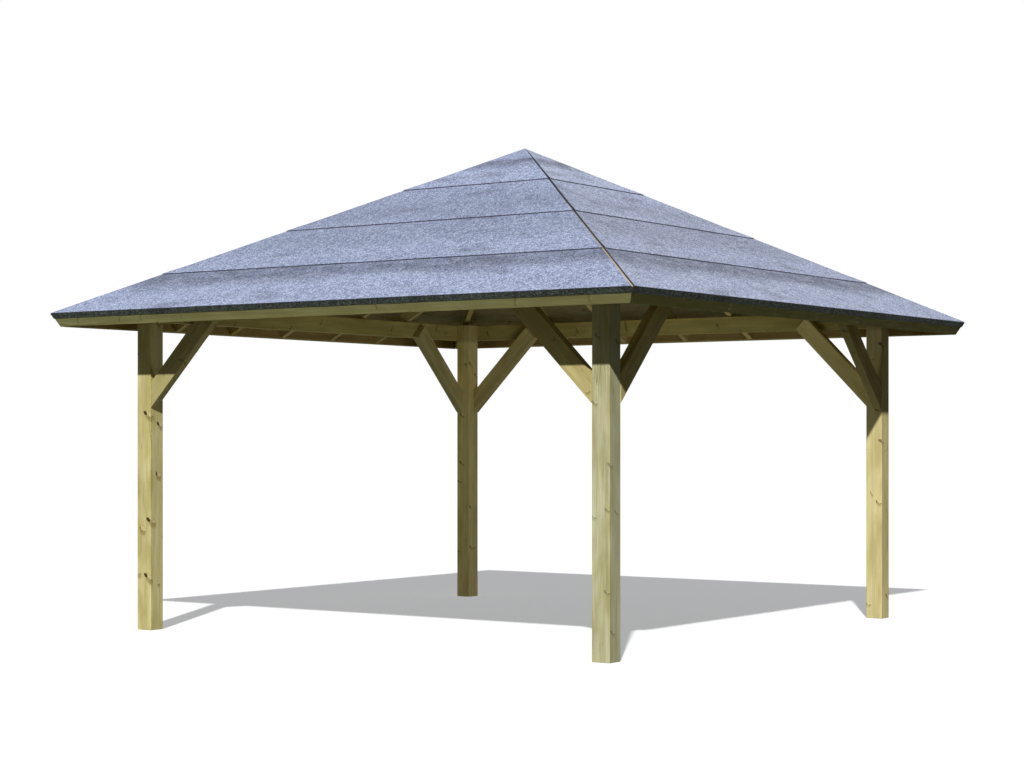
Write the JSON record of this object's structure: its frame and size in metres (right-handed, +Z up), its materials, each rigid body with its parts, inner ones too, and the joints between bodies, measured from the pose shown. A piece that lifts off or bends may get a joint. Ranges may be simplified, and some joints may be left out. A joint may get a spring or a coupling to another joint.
{
  "type": "garden gazebo",
  "caption": "Square open garden gazebo: timber posts, knee braces and beams carry a rafter-framed hip roof with boarding, mineral felt and a fascia all round.",
  "frame": {"origin": "on the ground, under the apex, in the middle of the post feet", "axes": "+Z up; -Y out of the front side, +X out of the right side, both square to the eaves"},
  "size_m": [4.53, 4.53, 3.2656],
  "materials": {
    "pine": "planed pressure-treated pine, greenish",
    "roof_boards": "planed spruce boarding",
    "felt": "bitumen felt with blue-grey mineral granules",
    "felt_skirt": "bitumen felt with anthracite granules"
  },
  "bodies": {
    "root": {"post_front_right": "pine", "post_back_right": "pine", "post_back_left": "pine", "post_front_left": "pine", "beam_front": "pine", "beam_right": "pine", "beam_back": "pine", "beam_left": "pine", "brace_front_left": "pine", "brace_front_right": "pine", "brace_right_front": "pine", "brace_right_back": "pine", "brace_back_right": "pine", "brace_back_left": "pine", "brace_left_back": "pine", "brace_left_front": "pine", "hip_front_right": "pine", "hip_back_right": "pine", "hip_back_left": "pine", "hip_front_left": "pine", "rafters_front": "pine", "rafters_right": "pine", "rafters_back": "pine", "rafters_left": "pine", "apex_block": "pine", "fascia_front": "pine", "fascia_right": "pine", "fascia_back": "pine", "fascia_left": "pine", "deck_front": "roof_boards", "deck_right": "roof_boards", "deck_back": "roof_boards", "deck_left": "roof_boards", "felt_front": "felt", "felt_right": "felt", "felt_back": "felt", "felt_left": "felt", "skirt_front": "felt_skirt", "skirt_right": "felt_skirt", "skirt_back": "felt_skirt", "skirt_left": "felt_skirt"}
  },
  "joints": []
}
